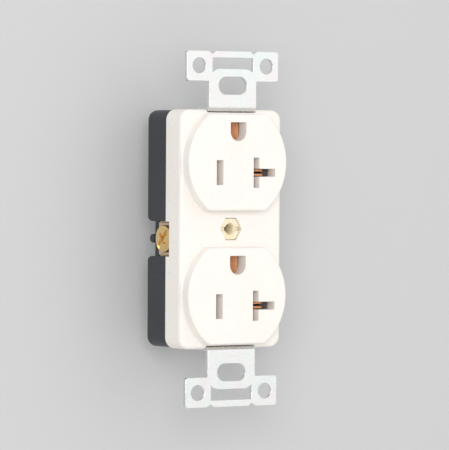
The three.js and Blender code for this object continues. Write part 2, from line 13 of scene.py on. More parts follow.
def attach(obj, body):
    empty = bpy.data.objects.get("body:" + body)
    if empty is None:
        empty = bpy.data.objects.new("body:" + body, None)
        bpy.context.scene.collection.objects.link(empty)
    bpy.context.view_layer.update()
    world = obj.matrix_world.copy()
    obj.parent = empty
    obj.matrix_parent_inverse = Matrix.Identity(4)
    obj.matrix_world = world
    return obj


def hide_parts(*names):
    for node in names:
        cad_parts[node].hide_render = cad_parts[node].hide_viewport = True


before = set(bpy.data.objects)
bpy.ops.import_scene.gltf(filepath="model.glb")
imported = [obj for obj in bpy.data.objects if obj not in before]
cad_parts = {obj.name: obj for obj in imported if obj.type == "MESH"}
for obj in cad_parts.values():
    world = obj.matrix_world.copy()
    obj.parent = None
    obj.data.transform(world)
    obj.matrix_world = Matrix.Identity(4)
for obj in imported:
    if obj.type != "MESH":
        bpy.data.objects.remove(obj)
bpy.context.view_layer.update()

MM = 0.001
CUT_PAST = 1.0
ARC_STEPS = 10
EDGE_STEPS = 4
SHARP_ANGLE = math.radians(32)

# strap
STRAP_THICKNESS = 1.2
STRAP_HALF_WIDTH = 8.25
STRAP_EDGE = 0.14
BEND_RADIUS = 0.9
LEG_PLANE = 34.7
WEB_PLANE = 18.2
TAB_PLANE = -0.6
STRAP_END = 51.85
EAR_FROM = 43.0
EAR_SIDE = 15.95
EAR_CORNER = 0.9
TAB_END = 46.7
TAB_CORNER = 4.0
WINDOW_HALF = 7.05
WINDOW_END = 49.8
MOUNT_SLOT = {"z": 41.75, "length": 9.8, "width": 5.1}
EAR_HOLE = {"x": 11.7, "z": 47.5, "radius": 2.25}
SNAP_NOTCH = {"x": 7.2, "depth": 0.8, "half": 1.15, "floor_half": 0.15}
SCORE = {"width": 0.4, "depth": 0.35, "draft": 0.12}
ARM_X = 13.4
ARM_HALF = 3.6
ARM_TIP = 5.9
WEB_HOLE = 1.8
GROUND_RIVET_HOLE = 1.7

# cover
COVER_HALF_X = 17.6
COVER_HALF_Z = 34.8
COVER_FRONT = -0.7
COVER_BACK = 7.33
COVER_INSIDE = 1.5
COVER_WALL = 2.2
COVER_END_WALL = 2.8
COVER_CORNER = 3.2
COVER_EDGE = 1.2
CHANNEL_FLOOR = 33.95
CHANNEL_HALF = 8.45
FACE_CENTRE = 19.42
FACE_FRONT = -4.4
FACE_RADIUS = 17.05
FACE_FLAT = 14.05
FACE_EDGE = 0.6
FACE_FILLET = 0.5
FACE_WALL = 2.2
FACE_INSIDE = -0.4
SLOT_LIP = 0.14
SLOT_CORNER = 0.15
SEAM_EDGE = 0.12
BOSS = {"centre": 5.4, "screw": 2.5, "back": 7.2}

# openings
BLADE_LINES = {"upper": 16.45, "lower": -22.39}
FACE_CENTRES = {"upper": FACE_CENTRE, "lower": -FACE_CENTRE}
BLADE_X = 6.35
HOT_SLOT = {"half_x": 1.15, "half_z": 3.6}
TEE = {"half_x": 1.0, "half_z": 4.4, "leg_end": 12.95, "leg_half": 1.15}
GROUND_OFFSET = 11.9
GROUND_HALF = 2.72
GROUND_ABOVE = 2.75

# body
BODY_HALF_X = 17.3
BODY_HALF_Z = 34.6
BODY_FRONT = 7.37
BODY_BACK = 18.2
BODY_CORNER = 3.0
BODY_EDGE = 1.1
NOTCH_FLARE = 3.1
CHAMBER_OUTER = 14.3
CHAMBER_INNER = 5.4
BAY_INNER = 2.6
BAY_HALF = 4.1
CHAMBER_TOP = 20.6
CHAMBER_BOTTOM = -26.6
CHAMBER_FLOOR = 16.2
WEB_RECESS = 17.3
WEB_RECESS_END = 36.0
BEHIND_BODY = 19.5
BODY_HOLES = {"boss": 3.85, "rear_screw": 1.8, "assembly_screw": 1.45}
GROUND_POCKET = {"half_x": 3.9, "half_z": 3.4, "floor": 14.2}
ARM_ROOM = 12.5
GROUND_SCREW_ROOM = {"inner": 5.6, "half": 2.55}

# terminals: side, middle height and half height of each notch
AXIS_Y = 9.8
TERMINALS = {
    "hot": {"side": -1, "z": -2.95, "half": 5.1},
    "neutral": {"side": 1, "z": -2.95, "half": 5.1},
    "ground": {"side": 1, "z": 25.6, "half": 4.3},
}
RELIEF_FLOOR = 5.4
TAP_HOLE = 2.25
TAP_OUTER = 14.0
TAP_INNER = 12.9
CLAMP = {"inner": 14.3, "outer": 15.4, "front": 5.7, "back": 14.4, "margin": 0.25}
CLAMP_GRIP = {"rows": 3, "first": 0.7, "spacing": 0.75, "half": 0.25, "depth": 0.25, "mouth": 0.3}
HEAD_INNER = 15.6
HEAD_OUTER = 17.2
HEAD_RADIUS = 4.0
HEAD_EDGE = 0.45
HEAD_CROSS = {"depth": 0.95, "reach": 2.1, "half": 0.45}
HEAD_SLOT = {"depth": 0.6, "half": 0.7, "lip": 0.06, "draft": 0.2}
SCREW_TIP = 7.2
SCREW_SHANK = 1.95
SCREW_RIDGE = 0.32
SCREW_PITCH = 0.8
PEG = {"radius": 1.3, "y": 16.7, "outer": 16.3}

# contacts
LEAF = 0.6
LEAF_BEND = 0.7
LEAF_EDGE = 0.12
CONTACT_BASE = 13.55
LEAF_TIP = 0.35
LEAF_PINCH = 2.4
LEAF_ROOT = 8.7
BLADE_CLIP = {"mouth": 1.7, "pinch": 0.9, "root": 2.8, "width": 6.2}
SIDE_CLIP = {"mouth": 0.66, "pinch": 0.52, "root": 2.0, "inner": 8.7, "outer": 11.8}
GROUND_CLIP = {"mouth": 3.1, "pinch": 1.75, "root": 3.2, "width": 5.4}
PARTING = {"inner": 0.2, "outer": 4.0, "end": 12.2, "half": 1.6}
BLADE_RIVET_HOLE = 1.5
BLADE_RIVET = {"shank": 1.2, "head": 2.0, "ends": (12.2, 15.95), "seats": (13.1, 15.25)}
GROUND_RIVET = {"shank": 1.4, "head": 2.6, "ends": (12.1, 20.0), "seats": (13.1, 18.9)}

# bus bars
BUS_EDGE = 0.12
BUS_BACK = 15.2
BUS_STRIP = {"front": 10.6, "bottom": -25.8, "top": 19.8}
BUS_FOOT = {"inner": 3.0, "half": 3.2, "front": 14.2}
TAP_PLATE = {"y": 10.9, "half_y": 5.0, "half_z": 6.6, "corner": 0.8}

# centre post and fasteners at the back
POST = {"flats": 6.15, "front": -0.1, "back": 16.0}
POST_TAP = {"radius": 1.75, "ridge": 0.35, "pitch": 0.8, "depth": 11.0, "lip": 0.1}
DRIVER_SLOT = {"half": 0.55, "depth": 0.9, "lip": 0.2}
REAR_TAP = {"radius": 1.7, "ridge": 0.2, "pitch": 0.6, "end": 12.3}
REAR_SCREW = {"shank": 1.5, "head": 3.6, "seat": 19.1, "back": 20.9, "tip": 12.6}
REAR_THREAD = {"ridge": 0.22, "pitch": 0.6}
REAR_CROSS = {"floor": 20.0, "reach": 2.2, "half": 0.5}
ASSEMBLY = {"x": 11.5, "z": 31.8, "shank": 1.15, "head": 2.4, "seat": 16.9, "back": 18.1, "tip": 2.8}
ASSEMBLY_THREAD = {"ridge": 0.25, "pitch": 0.9}
ASSEMBLY_CROSS = {"floor": 17.4, "reach": 1.5, "half": 0.33}
ASSEMBLY_PLACES = {
    "upper_left": (-ASSEMBLY["x"], ASSEMBLY["z"]),
    "upper_right": (ASSEMBLY["x"], ASSEMBLY["z"]),
    "lower_left": (-ASSEMBLY["x"], -ASSEMBLY["z"]),
    "lower_right": (ASSEMBLY["x"], -ASSEMBLY["z"]),
}


# ---------- outlines


def arc(centre, radius, start, end, steps):
    """Points on an arc, with angles in degrees."""
    angles = [math.radians(start + (end - start) * i / steps) for i in range(steps + 1)]
    return [(centre[0] + radius * math.cos(t), centre[1] + radius * math.sin(t)) for t in angles]


def circle(radius, centre, sides):
    return arc(centre, radius, 0, 360 * (sides - 1) / sides, sides - 1)


def rectangle(a0, a1, b0, b1):
    return [(a0, b0), (a1, b0), (a1, b1), (a0, b1)]


def rounded_rectangle(half_a, half_b, radius, centre=(0, 0), steps=ARC_STEPS):
    a, b = half_a - radius, half_b - radius
    outline = []
    for start, sign_a, sign_b in ((-90, 1, -1), (0, 1, 1), (90, -1, 1), (180, -1, -1)):
        corner = (centre[0] + sign_a * a, centre[1] + sign_b * b)
        outline += arc(corner, radius, start, start + 90, steps)
    return outline


def stadium(half_length, radius, centre):
    a = half_length - radius
    right = arc((centre[0] + a, centre[1]), radius, -90, 90, 14)
    return right + arc((centre[0] - a, centre[1]), radius, 90, 270, 14)


def flatted_circle(radius, flat, centre_z, steps=44):
    """A circle cut off by a flat above and below."""
    angle = math.degrees(math.asin(flat / radius))
    right = arc((0, centre_z), radius, -angle, angle, steps)
    return right + arc((0, centre_z), radius, 180 - angle, 180 + angle, steps)


def arch(half_width, above, centre_z):
    """A half circle below straight sides that end in a flat, with small corners."""
    corner = 0.3
    top = centre_z + above - corner
    outline = arc((0, centre_z), half_width, 180, 360, 24)
    outline += arc((half_width - corner, top), corner, 0, 90, 4)
    outline += arc((corner - half_width, top), corner, 90, 180, 4)
    return outline


def hexagon(across_flats):
    """A hexagon round the middle, with corners to the left and right."""
    return circle(across_flats / math.sqrt(3), (0, 0), 6)


def area_of(outline):
    return sum(a[0] * b[1] - b[0] * a[1] for a, b in zip(outline, outline[1:] + outline[:1])) / 2


def anticlockwise(outline):
    return list(outline) if area_of(outline) > 0 else list(reversed(outline))


def offset(outline, distance):
    """Moves every edge of an anticlockwise outline outwards by distance."""
    moved = []
    for i, point in enumerate(outline):
        here = Vector(point)
        before = here - Vector(outline[i - 1])
        after = Vector(outline[(i + 1) % len(outline)]) - here
        first = Vector((before.y, -before.x)).normalized()
        second = Vector((after.y, -after.x)).normalized()
        moved.append(tuple(here + (first + second) * (distance / (1 + first.dot(second)))))
    return moved


def rounded(outline, radius, steps):
    """Rounds every corner of a short outline."""
    points = anticlockwise(outline)
    softened = []
    for i, point in enumerate(points):
        here = Vector(point)
        back = (Vector(points[i - 1]) - here).normalized()
        on = (Vector(points[(i + 1) % len(points)]) - here).normalized()
        half = math.acos(max(-1.0, min(1.0, back.dot(on)))) / 2
        reach = radius / math.tan(half)
        start, end = here + back * reach, here + on * reach
        for step in range(steps + 1):
            part = step / steps
            control = start.lerp(here, part).lerp(here.lerp(end, part), part)
            softened.append(tuple(control))
    return softened


def turned_by(outline, degrees, centre):
    turn = Matrix.Rotation(math.radians(degrees), 2)
    middle = Vector(centre)
    return [tuple(middle + turn @ (Vector(p) - middle)) for p in outline]


# ---------- solids


def place(axis, a, b, depth):
    """Outlines are drawn in (X, Z) for axis Y, in (Y, Z) for axis X and in (X, Y) for axis Z."""
    if axis == "Y":
        return Vector((a, depth, b)) * MM
    if axis == "X":
        return Vector((depth, a, b)) * MM
    return Vector((a, b, depth)) * MM


def mesh_object(name, build):
    mesh = bpy.data.meshes.new(name)
    build.normal_update()
    bmesh.ops.recalc_face_normals(build, faces=build.faces)
    build.to_mesh(mesh)
    build.free()
    made = bpy.data.objects.new(name, mesh)
    bpy.context.scene.collection.objects.link(made)
    return made


def skin(loops):
    """A closed solid through loops of points that all have the same count."""
    build = bmesh.new()
    rings = [[build.verts.new(point) for point in loop] for loop in loops]
    count = len(rings[0])
    for near, far in zip(rings, rings[1:]):
        for i in range(count):
            j = (i + 1) % count
            build.faces.new((near[i], near[j], far[j], far[i]))
    build.faces.new(rings[0])
    build.faces.new(rings[-1])
    return mesh_object("solid", build)


def stack(rings, axis="Y"):
    return skin([[place(axis, a, b, depth) for a, b in outline] for outline, depth in rings])


def edge_profile(radius, steps=EDGE_STEPS):
    """Insets and rises along a quarter round, from the face to the side."""
    if radius == 0:
        return [(0.0, 0.0)]
    angles = [math.radians(90 * i / steps) for i in range(steps + 1)]
    return [(radius * (1 - math.sin(t)), radius * (1 - math.cos(t))) for t in angles]


def slab(outline, near, far, near_edge=0.0, far_edge=0.0, axis="Y"):
    """An outline with depth, and with rounded edges at its two ends."""
    flat = anticlockwise(outline)
    rings = [(offset(flat, -inset), near + rise) for inset, rise in edge_profile(near_edge)]
    rings += [(offset(flat, -inset), far - rise) for inset, rise in reversed(edge_profile(far_edge))]
    return stack(rings, axis)


def opening(outline, near, far, near_lip=0.0, far_lip=0.0):
    """A cutter through material from near to far that leaves rounded lips."""
    flat = anticlockwise(outline)
    rings = [(offset(flat, near_lip), near - CUT_PAST)]
    rings += [(offset(flat, out), near + rise) for out, rise in edge_profile(near_lip)]
    rings += [(offset(flat, out), far - rise) for out, rise in reversed(edge_profile(far_lip))]
    rings.append((offset(flat, far_lip), far + CUT_PAST))
    return stack(rings)


def pocket(outline, mouth, floor, lip=0.0, draft=0.0, axis="Y"):
    """A blind cutter from mouth to floor with a rounded lip; draft narrows it at the floor."""
    flat = anticlockwise(outline)
    way = 1 if floor > mouth else -1
    rings = [(offset(flat, lip), mouth - way * CUT_PAST)]
    rings += [(offset(flat, out), mouth + way * rise) for out, rise in edge_profile(lip)]
    rings.append((offset(flat, -draft), floor))
    return stack(rings, axis)


def block(x0, x1, y0, y1, z0, z1):
    outline = rectangle(min(x0, x1), max(x0, x1), z0, z1)
    return stack([(outline, y0), (outline, y1)])


def turned(profile, centre, axis="Y", sides=48):
    """A solid of revolution through (radius, depth) pairs, with flat ends."""
    return stack([(circle(radius, centre, sides), depth) for radius, depth in profile], axis)


def rod(radius, near, far, centre, axis="Y", sides=48):
    """A plain cylinder from near to far."""
    return turned([(radius, near), (radius, far)], centre, axis, sides)


def domed(radius, seat, crown, edge, centre, axis="Y", crown_rise=0.25):
    """A screw or rivet head from seat to crown, with a rounded rim and a low dome."""
    way = 1 if crown > seat else -1
    profile = [(radius - 0.12, seat), (radius, seat + way * 0.12)]
    shoulder = crown - way * crown_rise
    for inset, rise in reversed(edge_profile(edge, 6)):
        profile.append((radius - inset, shoulder - way * rise))
    rim = radius - edge
    for part in (0.75, 0.5, 0.25, 0.04):
        profile.append((rim * part, crown - way * crown_rise * part * part))
    return turned(profile, centre, axis)


def thread(outer, depth_of_thread, near, far, pitch, centre, axis="Y", sides=20, per_turn=6):
    """A rod with a helical ridge, run out at both ends."""
    length = far - near
    count = max(2, int(abs(length) / pitch * per_turn))
    rings = []
    for i in range(count + 1):
        depth = near + length * i / count
        fade = min(1.0, min(i, count - i) / per_turn)
        outline = []
        for k in range(sides):
            turn = k / sides
            phase = (abs(depth - near) / pitch + turn) % 1.0
            ridge = 1 - abs(2 * phase - 1)
            radius = outer - depth_of_thread * (1 - ridge * fade)
            angle = 2 * math.pi * turn
            outline.append((centre[0] + radius * math.cos(angle), centre[1] + radius * math.sin(angle)))
        rings.append((outline, depth))
    return stack(rings, axis)


def spine_of(corners, bend_radius, steps=6):
    """The centre line of bent sheet: points with their sideways directions."""
    points = [Vector(c) for c in corners]

    def sideways(along):
        return Vector((-along.y, along.x))

    first = (points[1] - points[0]).normalized()
    spine = [(points[0], sideways(first))]
    for i in range(1, len(points) - 1):
        before = (points[i] - points[i - 1]).normalized()
        after = (points[i + 1] - points[i]).normalized()
        turn = math.atan2(before.x * after.y - before.y * after.x, before.dot(after))
        start = points[i] - before * (bend_radius * math.tan(abs(turn) / 2))
        centre = start + sideways(before) * math.copysign(bend_radius, turn)
        for step in range(steps + 1):
            spin = Matrix.Rotation(turn * step / steps, 2)
            spine.append((centre + spin @ (start - centre), spin @ sideways(before)))
    last = (points[-1] - points[-2]).normalized()
    spine.append((points[-1], sideways(last)))
    return spine


def bent_sheet(corners, thickness, bend_radius, low, high, axis, edge, end_round=0.0):
    """Sheet of the given thickness bent along a line, with width from low to high along axis."""
    middle = (low + high) / 2
    half = (high - low) / 2
    loops = []
    spine = spine_of(corners, bend_radius)
    if end_round:
        spine = rounded_ends(spine, end_round)
    for entry in spine:
        here, normal = entry[0], entry[1]
        inset = entry[2] if len(entry) > 2 else 0.0
        section = rounded_rectangle(thickness / 2, half - inset, edge, (0, middle), 2)
        loops.append([place(axis, *(here + normal * t), w) for t, w in section])
    return skin(loops)


def rounded_ends(spine, radius, steps=4):
    """Adds stations near both ends where the strip narrows to round corners."""

    def end(first, second):
        along = (second[0] - first[0]).normalized()
        stations = []
        for i in range(steps + 1):
            angle = math.radians(90 * i / steps)
            run = radius * (1 - math.cos(angle))
            stations.append((first[0] + along * run, first[1], radius * (1 - math.sin(angle))))
        return stations

    return end(spine[0], spine[1]) + list(spine[1:-1]) + list(reversed(end(spine[-1], spine[-2])))


def combine(target, others, operation):
    """Joins others to target or cuts them from it, and keeps the result as plain mesh."""
    for other in others:
        step = target.modifiers.new(operation, "BOOLEAN")
        step.object = other
        step.operation = operation
        step.solver = "MANIFOLD"
    bpy.context.view_layer.update()
    graph = bpy.context.evaluated_depsgraph_get()
    result = bpy.data.meshes.new_from_object(target.evaluated_get(graph))
    target.modifiers.clear()
    target.data = result
    for other in others:
        bpy.data.objects.remove(other)
    return target


def cut(target, *cutters):
    return combine(target, cutters, "DIFFERENCE")


def join(target, *others):
    return combine(target, others, "UNION")


def keep_common(target, other):
    return combine(target, [other], "INTERSECT")


# ---------- materials


class Paint:
    """A node material with a principled shader, and short calls to add nodes to it."""

    def __init__(self, name, color, roughness, metallic=0.0):
        self.material = bpy.data.materials.new(name)
        self.material.use_nodes = True
        self.nodes = self.material.node_tree.nodes
        self.links = self.material.node_tree.links
        self.shader = self.nodes["Principled BSDF"]
        self.shader.inputs["Base Color"].default_value = (*color, 1)
        self.shader.inputs["Roughness"].default_value = roughness
        self.shader.inputs["Metallic"].default_value = metallic
        self.place = self.nodes.new("ShaderNodeTexCoord").outputs["Object"]

    def scaled(self, stretch):
        mapping = self.nodes.new("ShaderNodeMapping")
        mapping.inputs["Scale"].default_value = stretch
        self.links.new(self.place, mapping.inputs["Vector"])
        return mapping.outputs["Vector"]

    def noise(self, scale, detail=3.0, stretch=None):
        node = self.nodes.new("ShaderNodeTexNoise")
        node.inputs["Scale"].default_value = scale
        node.inputs["Detail"].default_value = detail
        self.links.new(self.scaled(stretch) if stretch else self.place, node.inputs["Vector"])
        return node.outputs["Fac"]

    def ramp(self, factor, stops):
        node = self.nodes.new("ShaderNodeValToRGB")
        elements = node.color_ramp.elements
        elements[0].position, elements[0].color = stops[0][0], (*stops[0][1], 1)
        elements[1].position, elements[1].color = stops[-1][0], (*stops[-1][1], 1)
        for position, color in stops[1:-1]:
            elements.new(position).color = (*color, 1)
        self.links.new(factor, node.inputs["Fac"])
        return node.outputs["Color"]

    def spread(self, factor, low, high):
        node = self.nodes.new("ShaderNodeMapRange")
        node.inputs["From Min"].default_value = 0.3
        node.inputs["From Max"].default_value = 0.7
        node.inputs["To Min"].default_value = low
        node.inputs["To Max"].default_value = high
        self.links.new(factor, node.inputs["Value"])
        return node.outputs["Result"]

    def color(self, output):
        self.links.new(output, self.shader.inputs["Base Color"])

    def roughness(self, output):
        self.links.new(output, self.shader.inputs["Roughness"])

    def bump(self, height, distance, strength):
        node = self.nodes.new("ShaderNodeBump")
        node.inputs["Distance"].default_value = distance
        node.inputs["Strength"].default_value = strength
        self.links.new(height, node.inputs["Height"])
        self.links.new(node.outputs["Normal"], self.shader.inputs["Normal"])


def white_plastic():
    paint = Paint("white_cover", (0.91, 0.86, 0.81), 0.3)
    cloud = paint.noise(60, 2.0)
    paint.color(paint.ramp(cloud, [(0.3, (0.90, 0.848, 0.795)), (0.7, (0.92, 0.873, 0.827))]))
    paint.roughness(paint.spread(paint.noise(900, 3.0), 0.26, 0.36))
    paint.bump(paint.noise(2600, 2.0), 0.000004, 0.25)
    paint.shader.inputs["Subsurface Weight"].default_value = 0.15
    paint.shader.inputs["Subsurface Radius"].default_value = (1.0, 0.75, 0.5)
    paint.shader.inputs["Subsurface Scale"].default_value = 0.001
    return paint.material


def grey_plastic():
    paint = Paint("grey_body", (0.026, 0.029, 0.036), 0.5)
    cloud = paint.noise(90, 3.0)
    paint.color(paint.ramp(cloud, [(0.3, (0.023, 0.0260, 0.0325)), (0.7, (0.029, 0.0325, 0.0395))]))
    paint.roughness(paint.spread(paint.noise(1500, 2.0), 0.42, 0.58))
    paint.bump(paint.noise(3800, 2.0), 0.00002, 0.5)
    return paint.material


def plated(name, color, tint, roughness=(0.2, 0.32), metallic=1.0):
    """Bright plate with rolling streaks and a faint change of tint."""
    streak = (30, 30, 6)
    paint = Paint(name, color, roughness[0], metallic)
    paint.color(paint.ramp(paint.noise(70, 2.0), [(0.32, tint), (0.5, color), (0.68, tint)]))
    paint.roughness(paint.spread(paint.noise(40, 4.0, streak), *roughness))
    paint.bump(paint.noise(55, 5.0, streak), 0.00001, 0.5)
    return paint.material


def zinc_plate():
    """Bright zinc with a faint change between a cool and a warm tint."""
    streak = (6, 30, 30)
    paint = Paint("zinc_steel", (0.77, 0.79, 0.78), 0.25, 1.0)
    tints = [(0.30, (0.735, 0.80, 0.785)), (0.48, (0.785, 0.80, 0.785)), (0.66, (0.80, 0.77, 0.775))]
    paint.color(paint.ramp(paint.noise(150, 2.5), tints))
    paint.roughness(paint.spread(paint.noise(60, 4.0, streak), 0.2, 0.32))
    paint.bump(paint.noise(90, 4.0, streak), 0.000008, 0.5)
    return paint.material


def dyed_green():
    paint = Paint("green_screw", (0.03, 0.28, 0.10), 0.3, 0.85)
    paint.color(paint.ramp(paint.noise(300, 3.0), [(0.35, (0.02, 0.22, 0.07)), (0.65, (0.045, 0.34, 0.13))]))
    paint.roughness(paint.spread(paint.noise(800, 3.0), 0.25, 0.4))
    paint.bump(paint.noise(1500, 3.0), 0.00001, 0.4)
    return paint.material


MATERIALS = {
    "white_cover": white_plastic(),
    "grey_body": grey_plastic(),
    "zinc_steel": zinc_plate(),
    "pale_brass": plated("pale_brass", (0.88, 0.78, 0.57), (0.87, 0.76, 0.53), (0.22, 0.32), 0.3),
    "brass": plated("brass", (0.82, 0.61, 0.30), (0.78, 0.55, 0.24), (0.2, 0.32), 0.9),
    "nickel": plated("nickel", (0.76, 0.74, 0.70), (0.72, 0.70, 0.65)),
    "copper_alloy": plated("copper_alloy", (1.0, 0.50, 0.26), (0.98, 0.46, 0.23), (0.25, 0.4), 0.2),
    "plated_clamp": plated("plated_clamp", (0.72, 0.54, 0.44), (0.67, 0.51, 0.39), (0.25, 0.4)),
    "green_screw": dyed_green(),
    "dark_steel": plated("dark_steel", (0.52, 0.53, 0.54), (0.46, 0.47, 0.49), (0.25, 0.38)),
}


def outlet_piece(piece, name, material_slot, body="outlet"):
    """Names a piece, shades it and ties it to its CAD node, body and material slot."""
    material = MATERIALS[material_slot]
    piece.name = name + "_look"
    piece.data.name = piece.name
    piece.data.materials.clear()
    piece.data.materials.append(material)
    piece.data.shade_smooth()
    piece.data.set_sharp_from_angle(angle=SHARP_ANGLE)
    weighting = piece.modifiers.new("weighting", "WEIGHTED_NORMAL")
    weighting.keep_sharp = True
    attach(piece, body)
    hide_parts(name)
    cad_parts[name].data.materials.clear()
    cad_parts[name].data.materials.append(material)


# ---------- front cover


def plug_openings(blade_z):
    """Cutters for the straight opening, the T-shaped opening and the ground opening of one face."""
    half_x, half_z = HOT_SLOT["half_x"], HOT_SLOT["half_z"]
    straight = rectangle(-BLADE_X - half_x, -BLADE_X + half_x, blade_z - half_z, blade_z + half_z)
    hot = rounded(straight, SLOT_CORNER, 2)
    left, right = BLADE_X - TEE["half_x"], BLADE_X + TEE["half_x"]
    low, high = blade_z - TEE["half_z"], blade_z + TEE["half_z"]
    leg_low, leg_high = blade_z - TEE["leg_half"], blade_z + TEE["leg_half"]
    tee = rounded(
        [(left, low), (right, low), (right, leg_low), (TEE["leg_end"], leg_low),
         (TEE["leg_end"], leg_high), (right, leg_high), (right, high), (left, high)], SLOT_CORNER, 2)
    ground = arch(GROUND_HALF, GROUND_ABOVE, blade_z + GROUND_OFFSET)
    return [opening(outline, FACE_FRONT, COVER_INSIDE, SLOT_LIP) for outline in (hot, tee, ground)]


def leg_channels(near, far, lip):
    """Cutters for the channels at both ends that the strap's legs run through."""
    channels = []
    for end in (1, -1):
        outer = end * (CHANNEL_FLOOR + 3)
        outline = rectangle(-CHANNEL_HALF, CHANNEL_HALF, *sorted((end * CHANNEL_FLOOR, outer)))
        channels.append(opening(outline, near, far, lip, lip))
    return channels


def terminal_reliefs():
    """Cutters for the steps in the cover's rim beside the terminals."""
    reliefs = []
    for terminal in TERMINALS.values():
        side = terminal["side"]
        low, high = terminal["z"] - terminal["half"], terminal["z"] + terminal["half"]
        outline = rectangle(RELIEF_FLOOR, COVER_BACK + CUT_PAST, low, high)
        inner, outer = sorted((side * (COVER_HALF_X - COVER_WALL - 1), side * (COVER_HALF_X + CUT_PAST)))
        reliefs.append(slab(outline, inner, outer, axis="X"))
    return reliefs


def front_cover():
    outline = rounded_rectangle(COVER_HALF_X, COVER_HALF_Z, COVER_CORNER)
    cover = slab(outline, COVER_FRONT, COVER_BACK, COVER_EDGE, SEAM_EDGE)
    faces = []
    for z in FACE_CENTRES.values():
        face = anticlockwise(flatted_circle(FACE_RADIUS, FACE_FLAT, z))
        rings = [(offset(face, -inset), FACE_FRONT + rise) for inset, rise in edge_profile(FACE_EDGE, 5)]
        foot = reversed(edge_profile(FACE_FILLET))
        rings += [(offset(face, out), COVER_FRONT - rise) for out, rise in foot]
        rings.append((face, COVER_INSIDE))
        faces.append(stack(rings))
    join(cover, *faces)
    inner_x, inner_z = COVER_HALF_X - COVER_WALL, COVER_HALF_Z - COVER_END_WALL
    inside = rounded_rectangle(inner_x, inner_z, COVER_CORNER - 1, steps=5)
    hollows = [pocket(inside, COVER_BACK, COVER_INSIDE)]
    for z in FACE_CENTRES.values():
        recess = flatted_circle(FACE_RADIUS - FACE_WALL, FACE_FLAT - FACE_WALL, z, 24)
        hollows.append(pocket(recess, COVER_INSIDE, FACE_INSIDE))
    cut(cover, *hollows)
    root, end = COVER_INSIDE - 0.5, BOSS["back"]
    bosses = [rod(BOSS["centre"], root, end, (0, 0))]
    for spot in ASSEMBLY_PLACES.values():
        bosses.append(rod(BOSS["screw"], root, end, spot, sides=24))
    join(cover, *bosses)
    cutters = [opening(hexagon(POST["flats"] + 0.3), COVER_FRONT, end, 0.2)]
    for spot in ASSEMBLY_PLACES.values():
        blind_hole = circle(ASSEMBLY["shank"] + 0.3, spot, 20)
        cutters.append(pocket(blind_hole, end, ASSEMBLY["tip"] - 0.3))
    for blade_z in BLADE_LINES.values():
        cutters += plug_openings(blade_z)
    cutters += leg_channels(COVER_FRONT, COVER_BACK, 0.25)
    cutters += terminal_reliefs()
    cut(cover, *cutters)
    outlet_piece(cover, "front_cover", "white_cover")


# ---------- rear body


def notch(terminal):
    """The side notch of a terminal, with rounded corners where it meets the back."""
    low, high = terminal["z"] - terminal["half"], terminal["z"] + terminal["half"]
    flare = NOTCH_FLARE
    back = BODY_BACK
    outline = [(BODY_FRONT - CUT_PAST, low)]
    outline += arc((back - flare, low - flare), flare, 90, 10, 8)
    outline += [(back + CUT_PAST, low - flare), (back + CUT_PAST, high + flare)]
    outline += arc((back - flare, high + flare), flare, -10, -90, 8)
    outline.append((BODY_FRONT - CUT_PAST, high))
    side = terminal["side"]
    inner, outer = sorted((side * (CHAMBER_OUTER - 0.1), side * (COVER_HALF_X + CUT_PAST)))
    return slab(outline, inner, outer, axis="X")


def body_rooms():
    """Chambers for the contacts and buses, pockets for the ground contacts, and the ground arm's room."""
    rooms = []
    front = BODY_FRONT - CUT_PAST
    for side in (-1, 1):
        outer = side * CHAMBER_OUTER
        rooms.append(block(side * CHAMBER_INNER, outer, front, CHAMBER_FLOOR, CHAMBER_BOTTOM, CHAMBER_TOP))
        for z in BLADE_LINES.values():
            rooms.append(block(side * BAY_INNER, outer, front, CHAMBER_FLOOR, z - BAY_HALF, z + BAY_HALF))
    for blade_z in BLADE_LINES.values():
        z = blade_z + GROUND_OFFSET
        half_x, half_z = GROUND_POCKET["half_x"], GROUND_POCKET["half_z"]
        rooms.append(block(-half_x, half_x, front, GROUND_POCKET["floor"], z - half_z, z + half_z))
        rooms.append(rod(GROUND_RIVET_HOLE, 13, BEHIND_BODY, (0, z), sides=24))
    z = TERMINALS["ground"]["z"]
    half = ARM_HALF + 0.3
    rooms.append(block(STRAP_HALF_WIDTH - 1, CHAMBER_OUTER, WEB_RECESS, BODY_BACK + 1, z - half, z + half))
    rooms.append(block(ARM_ROOM, CHAMBER_OUTER, front, BODY_BACK + 1, z - half, z + half))
    inner, half = GROUND_SCREW_ROOM["inner"], GROUND_SCREW_ROOM["half"]
    rooms.append(block(inner, CHAMBER_OUTER, front, AXIS_Y + half, z - half, z + half))
    return rooms


def side_peg(side):
    """A short peg that stands out sideways at the back of a live or neutral terminal's notch."""
    y, z, radius = PEG["y"], TERMINALS["hot"]["z"], PEG["radius"]
    tip = side * PEG["outer"]
    profile = [(radius, side * (CHAMBER_OUTER - 1)), (radius, tip - side * 0.3)]
    profile += [(radius - 0.09, tip - side * 0.09), (radius - 0.3, tip)]
    peg = turned(profile, (y, z), "X", 32)
    reach = 2 * radius
    inner, outer = side * (CHAMBER_OUTER - 2), side * CHAMBER_OUTER
    return cut(peg, block(inner, outer, y - reach, CHAMBER_FLOOR, z - reach, z + reach))


